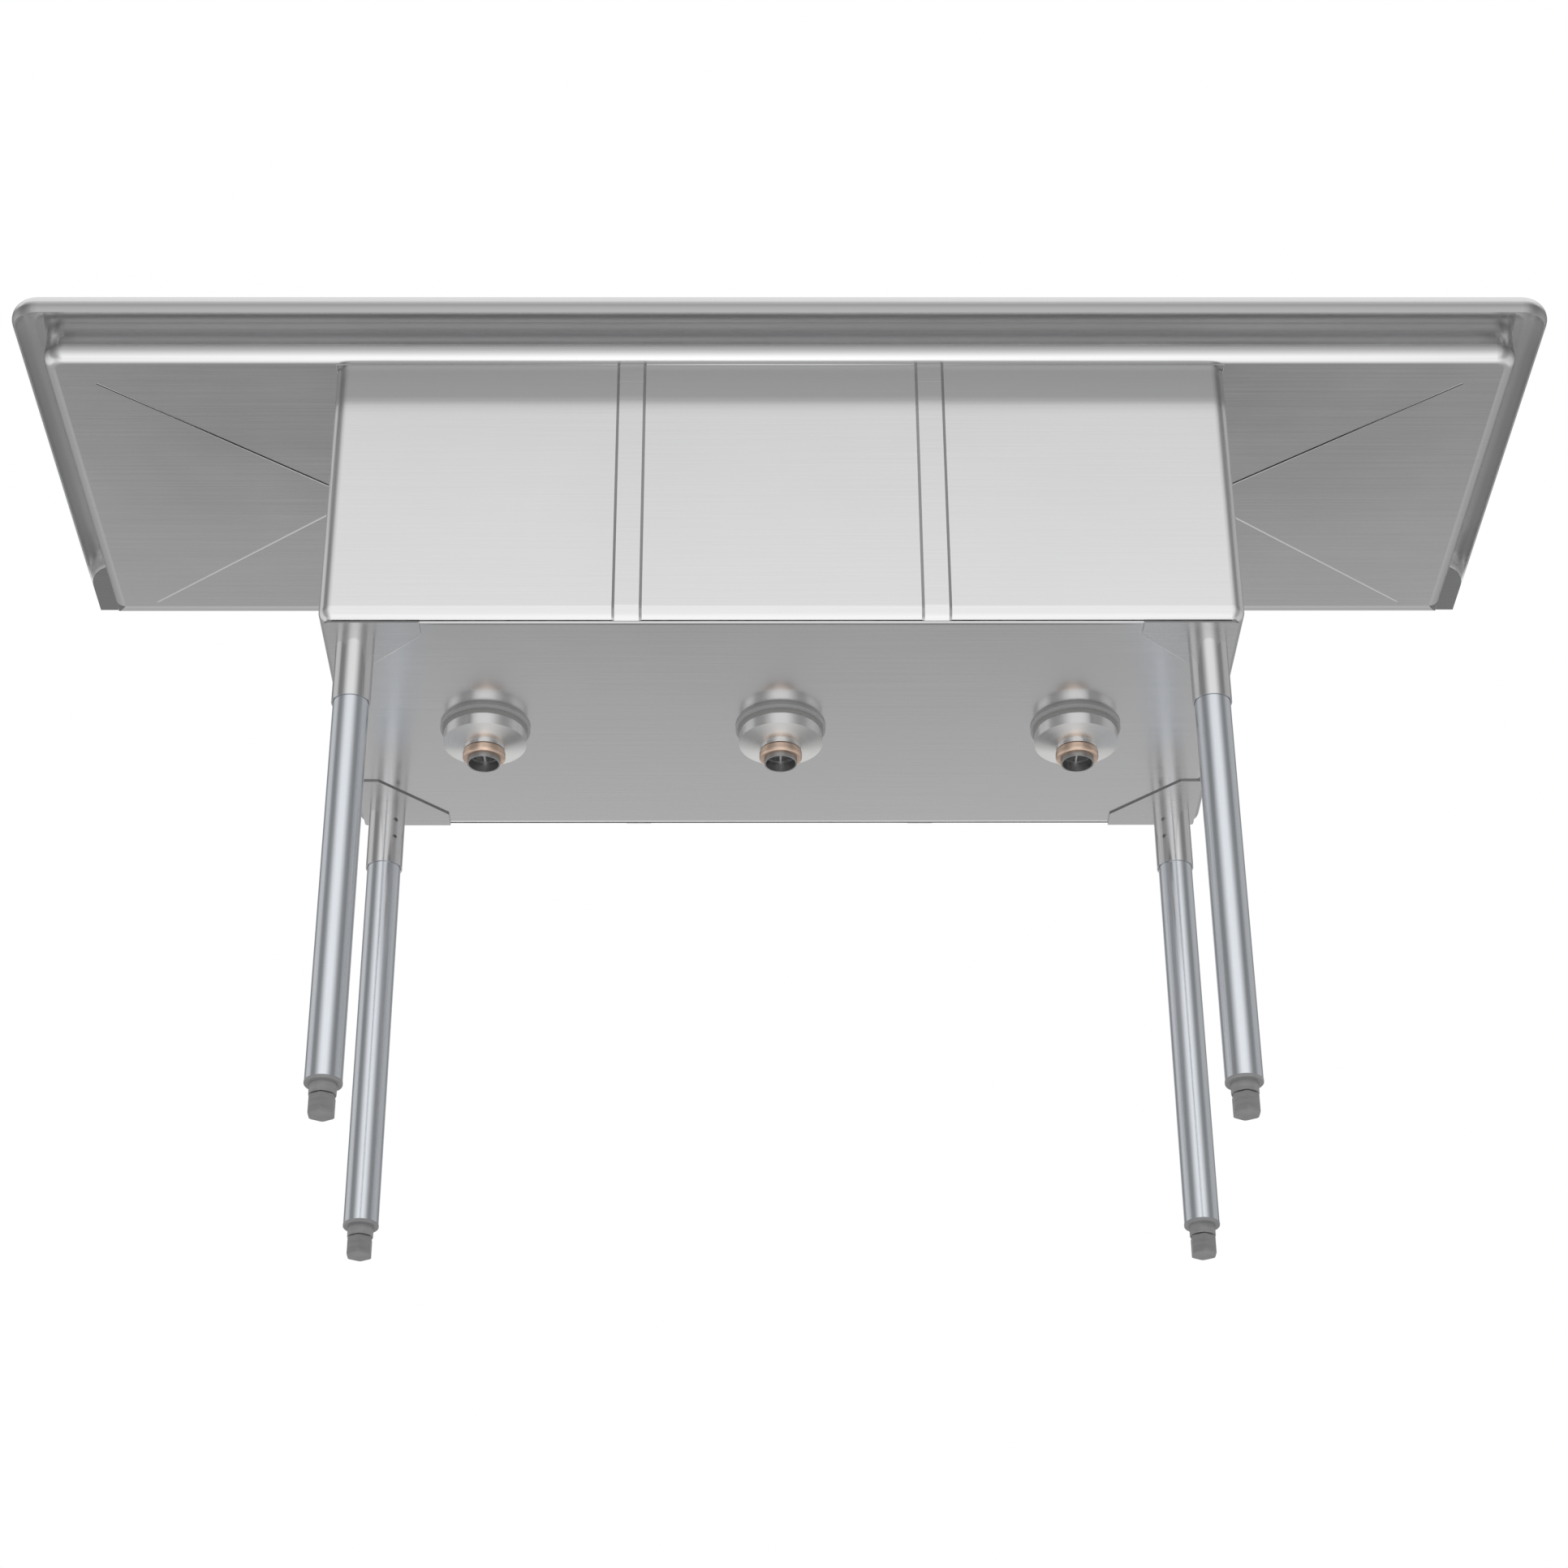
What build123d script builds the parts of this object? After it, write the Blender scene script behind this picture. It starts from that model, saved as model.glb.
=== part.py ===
"""Three compartment sink with two drainboards, a rolled rim, a backsplash and four legs.

Frame: X to the right, -Y towards the user, +Z up, origin on the floor below the centre of the sink.
Sheet-metal pieces are modelled with their real thickness, and each piece is one solid of its own.
All heights and depths are first worked out from two datums: the flat underside of the drainboards,
and the front wall of the bowls (y = 0), which the last step moves so that the sink is centred.
"""

import os
from math import cos, radians, sin, sqrt

from build123d import *

# ---------------------------------------------------------------- driving dimensions (mm)
SHEET = 1.2  # 18 gauge stainless steel
FLAT_LENGTH = 1740.0  # flat bottom of both drainboards, end to end
FLAT_DEPTH = 520.8  # flat bottom, front to back
DECK_HEIGHT = 965.0  # floor to the underside of the drainboards
BLOCK_LENGTH = 1064.0  # three bowls side by side, outside
BLOCK_DEPTH = 481.5  # bowls, front to back, outside
BOWL_HEIGHT = 362.7  # underside of the drainboards to the underside of the bowls
BLOCK_CORNER = 16.2  # upright outside corners of the bowl block
BLOCK_BEND = 16.0  # outside radius of its bottom bends
BOWL_PITCH = 355.6  # bowl to bowl, 14 in
DIVIDER_WIDTH = 12.0  # a divider is one folded sheet, two walls thick
ROLL_RADIUS = 19.0  # the rolled rim is 1-1/2 in across
RIM_RISE = 70.5  # underside of the drainboards to the top of the rim
ROLL_HOOK = 10.9  # how far the roll comes down past its own centre
COVE = 14.2  # inside radius where the drainboard turns up into its wall
WALL_CORNER = 25.0  # upright inside corners of the drainboards
RIM_CORNER = 35.0  # outside corners of the rim, seen from above
REAR_COVE = 38.8  # inside radius where the drainboard turns up into the backsplash
SWEEP = 38.0  # the side rim turns up into the backsplash round this radius
CREASE_END_X = 826.0  # two creases on each drainboard lead the water from its corners to the bowls
CREASE_ENDS_Y = (36.5, 510.6)
CREASE_MEET_Y = 276.0
CREASE_WIDTH = 2.6
CREASE_DEPTH = 0.35
BACKSPLASH_HEIGHT = 254.0  # above the drainboards, 10 in
BACKSPLASH_TOP_RADIUS = 10.0
FAUCET_SPACING = 203.2  # 8 in
FAUCET_HOLE = 14.3  # radius
FAUCET_DROP = 63.5  # from the top of the backsplash to the faucet holes
STRIP_WIDTH = 34.6
STRIP_THICKNESS = 2.0
STRIP_BEVEL_WIDTH = 3.3  # the long edges of a strip are pressed down to the bowls
STRIP_BEVEL_HEIGHT = 1.6
STRIP_FOLD_DROP = 28.0  # a folded line across each strip, below the drainboards
STRIP_FOLD = 0.6
STRIP_END_ANGLE = 62.0  # how far a strip follows the bottom bend round
GUSSET_THICKNESS = 2.0
GUSSET_LEG = 108.0
GUSSET_CLIP = 27.0
GUSSET_INSET = 8.0
LEG_RADIUS = 20.65  # 1-5/8 in tube
LEG_WALL = 1.6
LEG_INSET_X = 40.2
LEG_INSET_Y = 47.0
LEG_BOTTOM = 39.3
SOCKET_RADIUS = 22.5
SOCKET_WALL = 1.5
SOCKET_LENGTH = 84.8
SCREW_RADIUS = 3.2
SCREW_HEX = 1.7  # circumscribed radius of the key hole
SCREW_DROPS = (27.0, 51.0)  # below the bowls
SCREW_ANGLE = 35.0  # away from straight front to back, towards the middle of the sink
FOOT_HEX_FLATS = 27.0
FOOT_HEX_HEIGHT = 22.0
FOOT_STEM_RADIUS = 6.1
FOOT_STEM_TOP = 72.0
INSERT_FLANGE_RADIUS = 20.9
INSERT_FLANGE_THICKNESS = 3.4
INSERT_COLLAR_RADIUS = 15.1
INSERT_COLLAR_BOTTOM = 23.5
INSERT_PLUG_LENGTH = 40.0
RUNNING_GAP = 0.05
DRAIN_FLANGE_RADIUS = 56.0
DRAIN_FLANGE_THICKNESS = 1.5
DRAIN_THROAT_RADIUS = 43.0  # outside of the drain body, just inside the hole in the bowl
DRAIN_BORE_RADIUS = 40.0
DRAIN_HOLE_GAP = 0.2  # round the drain body, in the bowl and in the rings below it
DRAIN_DEPTH = 22.5  # underside of the bowls to the underside of the drain body's own floor
DRAIN_FLOOR_THICKNESS = 2.0
GASKET_RADIUS = 54.2
GASKET_THICKNESS = 3.5
WASHER_RADIUS = 51.0
WASHER_THICKNESS = 5.5
CUP_RADIUS = 49.9
CUP_HEIGHT = 14.6
CUP_CONE_DROP = 6.2
CUP_NECK_RADIUS = 24.6
CUP_NECK_LENGTH = 4.2
OUTLET_RADIUS = 19.4
OUTLET_BORE = 16.9
OUTLET_DROP = 38.0
CROSS_BAR_WIDTH = 2.4
CROSS_BAR_HEIGHT = 2.4
CROSS_HUB_RADIUS = 4.0  # tapped for the strainer's centre post
CROSS_HUB_HEIGHT = 5.0
SLIP_NUT_RADIUS = 25.6
SLIP_NUT_HEIGHT = 11.4
TAIL_RADIUS = 19.6
TAIL_BORE = 18.0
TAIL_END_DROP = 51.0  # below the bowls
BASKET_RADIUS = 38.6
BASKET_SHEET = 1.0
BASKET_TOP = 1.5  # above the underside of the bowls
BASKET_DEPTH = 16.5
BASKET_SLOTS = 12
BASKET_SLOT_LENGTH = 18.0
BASKET_SLOT_WIDTH = 3.2
BASKET_POST_RADIUS = 2.5
BASKET_POST_FOOT = 20.2  # below the underside of the bowls
BASKET_KNOB_RADIUS = 9.0
BASKET_KNOB_RISE = 12.0

# ---------------------------------------------------------------- places worked out from them
FLOOR = DECK_HEIGHT
BOWL_BOTTOM = DECK_HEIGHT - BOWL_HEIGHT
RIM_WIDTH = 2 * ROLL_RADIUS + COVE
HALF_LENGTH = FLAT_LENGTH / 2 + RIM_WIDTH
WALL_X = HALF_LENGTH - 2 * ROLL_RADIUS  # inside face of a drainboard's end wall
ROLL_X = HALF_LENGTH - ROLL_RADIUS
RIM_TOP = FLOOR + RIM_RISE
ROLL_Z = RIM_TOP - ROLL_RADIUS
LIP_Z = ROLL_Z - ROLL_HOOK
SPLASH_Y = FLAT_DEPTH + REAR_COVE  # front face of the backsplash
SWEEP_START_Y = SPLASH_Y - SWEEP
SWEEP_RADIUS = SWEEP + ROLL_RADIUS
REAR_Y = SPLASH_Y + ROLL_RADIUS + ROLL_HOOK
SPLASH_TOP = FLOOR + BACKSPLASH_HEIGHT
ENDS_X = BLOCK_LENGTH / 2 - BLOCK_CORNER
BLOCK_TOP = FLOOR + SHEET
DIVIDER_X = BOWL_PITCH / 2
DRAIN_Y = BLOCK_DEPTH / 2
LEG_X = BLOCK_LENGTH / 2 - LEG_INSET_X
SOCKET_TOP = BOWL_BOTTOM - GUSSET_THICKNESS
CUP_TOP = -GASKET_THICKNESS - WASHER_THICKNESS  # heights at a drain count from the underside of the bowls
CUP_FOOT = CUP_TOP - CUP_HEIGHT - CUP_CONE_DROP - CUP_NECK_LENGTH
CENTRING = -(REAR_Y - RIM_WIDTH) / 2
FAR = 3000.0

SIDES = {"left": -1, "right": 1}
CORNERS = {
    "front_left": (-1, 1),
    "front_right": (1, 1),
    "rear_left": (-1, -1),
    "rear_right": (1, -1),
}
BOWLS = {"left": -1, "centre": 0, "right": 1}


def block(x0, x1, y0, y1, z0, z1):
    """A box between two corners."""
    return Pos(x0, y0, z0) * Box(x1 - x0, y1 - y0, z1 - z0, align=Align.MIN)


def tube(outer, inner, z0, z1):
    """An upright ring on the z axis."""
    low = Align.MIN
    centred = (Align.CENTER, Align.CENTER, low)
    ring = Cylinder(outer, z1 - z0, align=centred) - Cylinder(inner, z1 - z0, align=centred)
    return Pos(0, 0, z0) * ring


def disc(radius, z0, z1):
    """An upright solid cylinder on the z axis."""
    return Pos(0, 0, z0) * Cylinder(radius, z1 - z0, align=(Align.CENTER, Align.CENTER, Align.MIN))


def mirrored(shape, side):
    """The shape itself on the right, and its mirror image on the left."""
    return shape if side > 0 else mirror(shape, about=Plane.YZ)


# ---------------------------------------------------------------- drainboards and rim
def tray(half_x, y0, z0, z1, corner):
    """A long slab with two rounded front corners; it runs far past the back of the sink."""
    slab = block(-half_x, half_x, y0, y0 + FAR, z0, z1)
    upright = slab.edges().filter_by(Axis.Z).group_by(Axis.Y)[0]
    return fillet(upright, corner)


def open_edges(slab, at_top):
    """The front and side edges of a slab's top or bottom face, without the edge at its back."""
    face = slab.faces().filter_by(Axis.Z).sort_by(Axis.Z)[-1 if at_top else 0]
    back = slab.bounding_box().max.Y
    return [edge for edge in face.edges() if edge.center().Y < back - 1]


def roll_outside(inset):
    """The closed outside of the roll, or with an inset of one sheet, the inside of it."""
    radius = ROLL_RADIUS - 0.1 - inset
    slab = tray(
        HALF_LENGTH - inset,
        -RIM_WIDTH + inset,
        ROLL_Z - ROLL_RADIUS - 0.1 + inset,
        RIM_TOP - inset,
        RIM_CORNER - inset,
    )
    slab = fillet(open_edges(slab, True), radius)
    slab = fillet(open_edges(slab, False), radius)
    basin = tray(WALL_X + inset, -COVE - inset, FLOOR, RIM_TOP + 50, WALL_CORNER + inset)
    ridge = slab - basin
    top = ridge.faces().filter_by(Axis.Z).sort_by(Axis.Z)[-1]
    inner = [edge for edge in top.edges() if is_inner(edge, inset)]
    return fillet(inner, radius)


def is_inner(edge, inset):
    """Whether an edge of the roll's top lies on the basin side."""
    middle = edge.center()
    far_back = middle.Y > FAR - 2 * RIM_WIDTH
    on_side = abs(abs(middle.X) - WALL_X - inset) < ROLL_RADIUS / 2
    on_front = abs(middle.Y + COVE + inset) < ROLL_RADIUS / 2
    on_corner = abs(middle.X) > WALL_X - WALL_CORNER and middle.Y < WALL_CORNER
    on_outside = abs(middle.X) > ROLL_X or middle.Y < -COVE - ROLL_RADIUS / 2
    return not far_back and not on_outside and (on_side or on_front or on_corner)


def straight_roll():
    """The rolled rim along the front, round both corners and back to where it sweeps up."""
    ring = roll_outside(0) - roll_outside(SHEET)
    keep = block(-FAR, FAR, -FAR, SWEEP_START_Y, LIP_Z, RIM_TOP + 1)
    return ring & keep


def basin_block(inset):
    """The basin of the drainboards as a solid: its underside, or inset by one sheet, its top face."""
    grow = SHEET - inset
    slab = tray(WALL_X + grow, -COVE - grow, FLOOR + inset, LIP_Z, WALL_CORNER + grow)
    slab = fillet(open_edges(slab, False), COVE + grow)
    rear = block(-FAR, FAR, -FAR, SPLASH_Y + grow, FLOOR + inset, LIP_Z)
    rear_edge = rear.edges().filter_by(Axis.X).group_by(Axis.Z)[0].sort_by(Axis.Y)[-1]
    rear = fillet(rear_edge, REAR_COVE + grow)
    return slab & rear


def creases(z):
    """The four pressed creases as thin wedges that hang down from a level."""
    wedge = Polyline((-CREASE_WIDTH / 2, 0), (CREASE_WIDTH / 2, 0), (0, CREASE_DEPTH), close=True)
    meet = Vector(BLOCK_LENGTH / 2 + CREASE_WIDTH, CREASE_MEET_Y, z)
    made = []
    for end_y in CREASE_ENDS_Y:
        run = meet - Vector(CREASE_END_X, end_y, z)
        across = run.cross(Vector(0, 0, 1))
        plane = Plane(origin=(CREASE_END_X, end_y, z), x_dir=across, z_dir=run)
        fold = extrude(plane * make_face(wedge), run.length)
        made += [fold, mirror(fold, about=Plane.YZ)]
    return made


def basin():
    """Floor, coves and low walls of the drainboards, with the opening for the bowls."""
    opening = block(-BLOCK_LENGTH / 2, BLOCK_LENGTH / 2, 0, BLOCK_DEPTH, FLOOR - 5, FLOOR + 5)
    opening = fillet(opening.edges().filter_by(Axis.Z), BLOCK_CORNER)
    sheet = basin_block(0) - basin_block(SHEET) - opening
    return sheet + creases(FLOOR) - creases(FLOOR + SHEET)


def roll_section():
    """Section of the roll across the right-hand rim, as a face in the plane where it sweeps up."""
    ring = Circle(ROLL_RADIUS) - Circle(ROLL_RADIUS - SHEET)
    ring -= Pos(0, -ROLL_HOOK - ROLL_RADIUS) * Rectangle(4 * ROLL_RADIUS, 2 * ROLL_RADIUS)
    ring -= Pos(-ROLL_RADIUS, -ROLL_RADIUS) * Rectangle(2 * ROLL_RADIUS, 2 * ROLL_RADIUS)
    return ring


def swept(section):
    """A section of the right-hand rim, turned a quarter round up into the backsplash."""
    plane = Plane(origin=(ROLL_X, SWEEP_START_Y, ROLL_Z), x_dir=(1, 0, 0), z_dir=(0, -1, 0))
    axis = Axis((0, SWEEP_START_Y, ROLL_Z + SWEEP_RADIUS), (1, 0, 0))
    return revolve(plane * section, axis, 90)


def right_sweep():
    """The right-hand rim where it turns up, and the bit of end wall that closes the gap below it."""
    roll = swept(roll_section())
    roll -= block(WALL_X - 5, ROLL_X, SPLASH_Y, REAR_Y + 5, LIP_Z, ROLL_Z + SWEEP_RADIUS + 5)
    wall = block(WALL_X, WALL_X + SHEET, SWEEP_START_Y, SPLASH_Y, LIP_Z, ROLL_Z + SWEEP_RADIUS)
    turned = Rot(0, 90, 0) * Cylinder(SWEEP_RADIUS, 4 * SWEEP_RADIUS)
    wall -= Pos(WALL_X, SWEEP_START_Y, ROLL_Z + SWEEP_RADIUS) * turned
    return roll + wall


def deck():
    """Both drainboards, the rim and the rear ledge, before they are cut into their sheets."""
    return basin() + straight_roll() + right_sweep() + mirror(right_sweep(), about=Plane.YZ)


def deck_pieces():
    """The deck is four welded sheets: a drainboard at each end, and a rim and a ledge between."""
    whole = deck()
    seam = BLOCK_LENGTH / 2
    middle = DRAIN_Y
    return {
        "left_drainboard": whole & block(-FAR, -seam, -FAR, FAR, 0, FAR),
        "right_drainboard": whole & block(seam, FAR, -FAR, FAR, 0, FAR),
        "front_rim": whole & block(-seam, seam, -FAR, middle, 0, FAR),
        "rear_ledge": whole & block(-seam, seam, middle, FAR, 0, FAR),
    }


# ---------------------------------------------------------------- backsplash
def splash_shell(inset):
    """Upper backsplash as a solid with rounded top and end edges, grown or inset."""
    foot = ROLL_Z + SWEEP_RADIUS
    half = HALF_LENGTH - inset
    back = REAR_Y if inset == 0 else REAR_Y + 10
    low = foot if inset == 0 else foot - 10
    solid = block(-half, half, SPLASH_Y + inset, back, low, SPLASH_TOP - inset)
    upright = solid.edges().filter_by(Axis.Z).group_by(Axis.Y)[0]
    solid = fillet(upright, ROLL_RADIUS - inset)
    return fillet(open_top_edges(solid), BACKSPLASH_TOP_RADIUS - inset)


def open_top_edges(solid):
    """The front and end edges of a solid's top face, without the edge at its back."""
    top = solid.faces().sort_by(Axis.Z)[-1]
    back = solid.bounding_box().max.Y
    return [edge for edge in top.edges() if edge.center().Y < back - 0.1]


def backsplash():
    """One folded sheet: a flat face, ends and top turned back to the wall, and two faucet holes."""
    upper = splash_shell(0) - splash_shell(SHEET)
    foot = ROLL_Z + SWEEP_RADIUS
    lower = block(-ROLL_X, ROLL_X, SPLASH_Y, SPLASH_Y + SHEET, LIP_Z, foot)
    below_roll = Pos(SHEET / 2, -2 * ROLL_RADIUS) * Rectangle(2 * ROLL_RADIUS - SHEET, 4 * ROLL_RADIUS)
    clearance = swept(Circle(ROLL_RADIUS) + below_roll)
    clearance += block(WALL_X, ROLL_X + 20, SPLASH_Y - 5, SPLASH_Y + 5, LIP_Z - 5, ROLL_Z)
    lower -= clearance
    lower -= mirror(clearance, about=Plane.YZ)
    holes = [
        Pos(x, SPLASH_Y, SPLASH_TOP - FAUCET_DROP) * Rot(90, 0, 0) * Cylinder(FAUCET_HOLE, 20)
        for x in (-FAUCET_SPACING / 2, FAUCET_SPACING / 2)
    ]
    return upper + lower - holes


def splash_closure(side):
    """Flat plate that closes the foot of the backsplash end from below, its front edge an arc."""
    inner = WALL_X + SHEET
    outer = ROLL_X + sqrt(ROLL_RADIUS**2 - ROLL_HOOK**2)
    start = SWEEP_START_Y - ROLL_RADIUS * 2
    bow = SWEEP_START_Y + ROLL_RADIUS / 2
    outline = Polyline((outer, bow), (outer, REAR_Y), (inner, REAR_Y), (inner, start))
    front = TangentArc((inner, start), (outer, bow), tangent=(1, 0.35))
    plate = extrude(make_face(outline.edges() + front.edges()), SHEET)
    return mirrored(Pos(0, 0, LIP_Z - SHEET) * plate, side)


# ---------------------------------------------------------------- bowls
def bowl_block(inset, top):
    """The three bowls as one solid with rounded corners and bottom bends, inset by a distance."""
    half = BLOCK_LENGTH / 2 - inset
    solid = block(-half, half, inset, BLOCK_DEPTH - inset, BOWL_BOTTOM + inset, top)
    solid = fillet(solid.edges().filter_by(Axis.Z), BLOCK_CORNER - inset)
    bottom = solid.faces().sort_by(Axis.Z)[0]
    return fillet(bottom.edges(), BLOCK_BEND - inset)


def bowl_sheets():
    """One sheet folded into the front, bottom and back of all three bowls, and two end caps."""
    shell = bowl_block(0, BLOCK_TOP) - bowl_block(SHEET, BLOCK_TOP + 5)
    wrap = shell & block(-ENDS_X, ENDS_X, -FAR, FAR, 0, FAR)
    for place in BOWLS.values():
        wrap -= drain_axis(place) * disc(DRAIN_THROAT_RADIUS + DRAIN_HOLE_GAP, -5, 5)
    return {
        "bowl_wrap": wrap,
        "left_bowl_end": shell & block(-FAR, -ENDS_X, -FAR, FAR, 0, FAR),
        "right_bowl_end": shell & block(ENDS_X, FAR, -FAR, FAR, 0, FAR),
    }


def divider(side):
    """A sheet folded over at the top into two walls, shaped to the inside of the bowls."""
    half = DIVIDER_WIDTH / 2
    outer = divider_core(SHEET, half, BLOCK_TOP)
    inner = divider_core(2 * SHEET, half - SHEET, BLOCK_TOP - SHEET)
    inner += block(-half + SHEET, half - SHEET, 20, BLOCK_DEPTH - 20, BOWL_BOTTOM, BOWL_BOTTOM + 10)
    return Pos(side * DIVIDER_X, 0, 0) * (outer - inner)


def divider_core(inset, half, top):
    """A slice of the inside of the bowls with a half-round top."""
    slice_ = bowl_block(inset, FLOOR + 60) & block(-half, half, -FAR, FAR, 0, top)
    edges = slice_.faces().sort_by(Axis.Z)[-1].edges().filter_by(Axis.Y)
    return fillet(edges, half - 0.1)


def strip_section():
    """Section of a front strip: down the front and most of the way round the bottom bend."""
    face_y, fold_z = -STRIP_THICKNESS, FLOOR - STRIP_FOLD_DROP
    bend_z = BOWL_BOTTOM + BLOCK_BEND
    across, down = cos(radians(STRIP_END_ANGLE)), sin(radians(STRIP_END_ANGLE))
    outside = BLOCK_BEND + STRIP_THICKNESS
    inner_end = (BLOCK_BEND - BLOCK_BEND * across, bend_z - BLOCK_BEND * down)
    outer_end = (BLOCK_BEND - outside * across, bend_z - outside * down)
    fold = ((face_y, fold_z - STRIP_FOLD), (face_y + STRIP_FOLD, fold_z), (face_y, fold_z + STRIP_FOLD))
    edges = [
        Line((0, FLOOR), (0, bend_z)),
        TangentArc((0, bend_z), inner_end, tangent=(0, -1)),
        Line(inner_end, outer_end),
        TangentArc((face_y, bend_z), outer_end, tangent=(0, -1)),
        Polyline((face_y, bend_z), *fold, (face_y, FLOOR), (0, FLOOR)),
    ]
    return make_face(Curve(children=edges).edges())


def bevel_cut(edge_x, towards):
    """The bevel of one long edge as a solid to cut away: straight down the front, then round the bend."""
    low, high = STRIP_THICKNESS - STRIP_BEVEL_HEIGHT, STRIP_THICKNESS + 1
    run = STRIP_BEVEL_WIDTH * (high - low) / STRIP_BEVEL_HEIGHT
    wedge = Polyline((0, low), (run * towards, high), (0, high), close=True)
    section = Pos(edge_x, 0) * make_face(wedge)
    bend_z = BOWL_BOTTOM + BLOCK_BEND
    front_plane = Plane(origin=(0, 0, bend_z), x_dir=(1, 0, 0), z_dir=(0, 0, 1))
    front = front_plane * mirror(section, about=Plane.XZ)
    axis = Axis((0, BLOCK_BEND, bend_z), (1, 0, 0))
    return extrude(front, FLOOR - bend_z + 1) + revolve(front, axis, 90)


def gap_strips(at_front):
    """Two narrow cover strips, one over the weld line of each divider."""
    strip = extrude(Plane.YZ * strip_section(), STRIP_WIDTH)
    strip -= bevel_cut(0, 1) + bevel_cut(STRIP_WIDTH, -1)
    if not at_front:
        strip = mirror(strip, about=Plane.XZ.offset(-DRAIN_Y))
    places = [Pos(side * DIVIDER_X - STRIP_WIDTH / 2, 0, 0) for side in SIDES.values()]
    return Compound(children=[place * strip for place in places])


# ---------------------------------------------------------------- legs
def leg_axis(corner):
    """Where a leg stands; corners are (x side, +1 for front or -1 for rear)."""
    side, front = corner
    y = LEG_INSET_Y if front > 0 else BLOCK_DEPTH - LEG_INSET_Y
    return Pos(side * LEG_X, y, 0)


def gusset(corner):
    """A triangular plate with clipped tips, welded under a corner of the bowls."""
    side, front = corner
    leg, clip = GUSSET_LEG, GUSSET_CLIP
    outline = Polyline((0, 0), (leg, 0), (leg, clip), (clip, leg), (0, leg), close=True)
    plate = extrude(make_face(outline), GUSSET_THICKNESS)
    plate = fillet(plate.edges().filter_by(Axis.Z).sort_by(Axis.X)[0], 4)
    plate = Pos(GUSSET_INSET - BLOCK_LENGTH / 2, GUSSET_INSET, BOWL_BOTTOM - GUSSET_THICKNESS) * plate
    if side > 0:
        plate = mirror(plate, about=Plane.YZ)
    if front < 0:
        plate = mirror(plate, about=Plane.XZ.offset(-DRAIN_Y))
    return plate


def screw_places(corner):
    """Places for the two set screws of a socket, their x axes pointing out along the screw."""
    side, front = corner
    turn = 90 * front + side * front * SCREW_ANGLE
    for drop in SCREW_DROPS:
        yield leg_axis(corner) * Pos(0, 0, BOWL_BOTTOM - drop) * Rot(0, 0, turn)


def socket(corner):
    """Round socket welded under a gusset, with two tapped holes for the set screws."""
    ring = tube(SOCKET_RADIUS, SOCKET_RADIUS - SOCKET_WALL, SOCKET_TOP - SOCKET_LENGTH, SOCKET_TOP)
    ring = leg_axis(corner) * ring
    for place in screw_places(corner):
        ring -= place * Pos(SOCKET_RADIUS, 0, 0) * Rot(0, 90, 0) * Cylinder(SCREW_RADIUS, 10)
    return ring


def set_screws():
    """Eight cup-point set screws with key holes; each one's tip bears on its leg."""
    length = SOCKET_RADIUS - LEG_RADIUS + 0.8
    plain = Cylinder(SCREW_RADIUS, length, align=(Align.CENTER, Align.CENTER, Align.MIN))
    plain = chamfer(plain.edges().sort_by(Axis.Z)[-1], 0.5)
    key = extrude(RegularPolygon(SCREW_HEX, 6), 2)
    screw = Rot(0, 90, 0) * (plain - Pos(0, 0, length - 1.4) * key)
    screws = []
    for corner in CORNERS.values():
        for place in screw_places(corner):
            screws.append(place * Pos(LEG_RADIUS, 0, 0) * screw)
    return Compound(children=screws)


def leg(corner):
    """Galvanised tube from the plastic insert up into the socket."""
    return leg_axis(corner) * tube(LEG_RADIUS, LEG_RADIUS - LEG_WALL, LEG_BOTTOM, SOCKET_TOP - 3)


def foot_insert(corner):
    """Plastic plug in the end of the tube, with a flange, a collar and a tapped hole."""
    flange_low = LEG_BOTTOM - INSERT_FLANGE_THICKNESS
    flange = disc(INSERT_FLANGE_RADIUS, flange_low, LEG_BOTTOM)
    flange = fillet(flange.edges().sort_by(Axis.Z)[0], 1.4)
    collar = disc(INSERT_COLLAR_RADIUS, INSERT_COLLAR_BOTTOM, flange_low)
    collar = chamfer(collar.edges().sort_by(Axis.Z)[0], 0.8)
    plug = disc(LEG_RADIUS - LEG_WALL - 0.1, LEG_BOTTOM, LEG_BOTTOM + INSERT_PLUG_LENGTH)
    bore = disc(FOOT_STEM_RADIUS + RUNNING_GAP, 0, LEG_BOTTOM + INSERT_PLUG_LENGTH + 1)
    return leg_axis(corner) * (flange + collar + plug - bore)


def foot(corner):
    """Adjustable foot: a hexagon for the spanner that stands on the floor, and a threaded stem."""
    apothem = FOOT_HEX_FLATS / 2
    hexagon = extrude(Rot(0, 0, 30) * RegularPolygon(apothem, 6, major_radius=False), FOOT_HEX_HEIGHT)
    hexagon = chamfer(hexagon.faces().sort_by(Axis.Z)[0].edges(), 0.8)
    stem = disc(FOOT_STEM_RADIUS, FOOT_HEX_HEIGHT, FOOT_STEM_TOP)
    stem = chamfer(stem.edges().sort_by(Axis.Z)[-1], 1.5)
    return leg_axis(corner) * (hexagon + stem)


# ---------------------------------------------------------------- drains
def drain_axis(place):
    """The drain's axis, with z = 0 at the underside of the bowls."""
    return Pos(place * BOWL_PITCH, DRAIN_Y, BOWL_BOTTOM)


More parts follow.
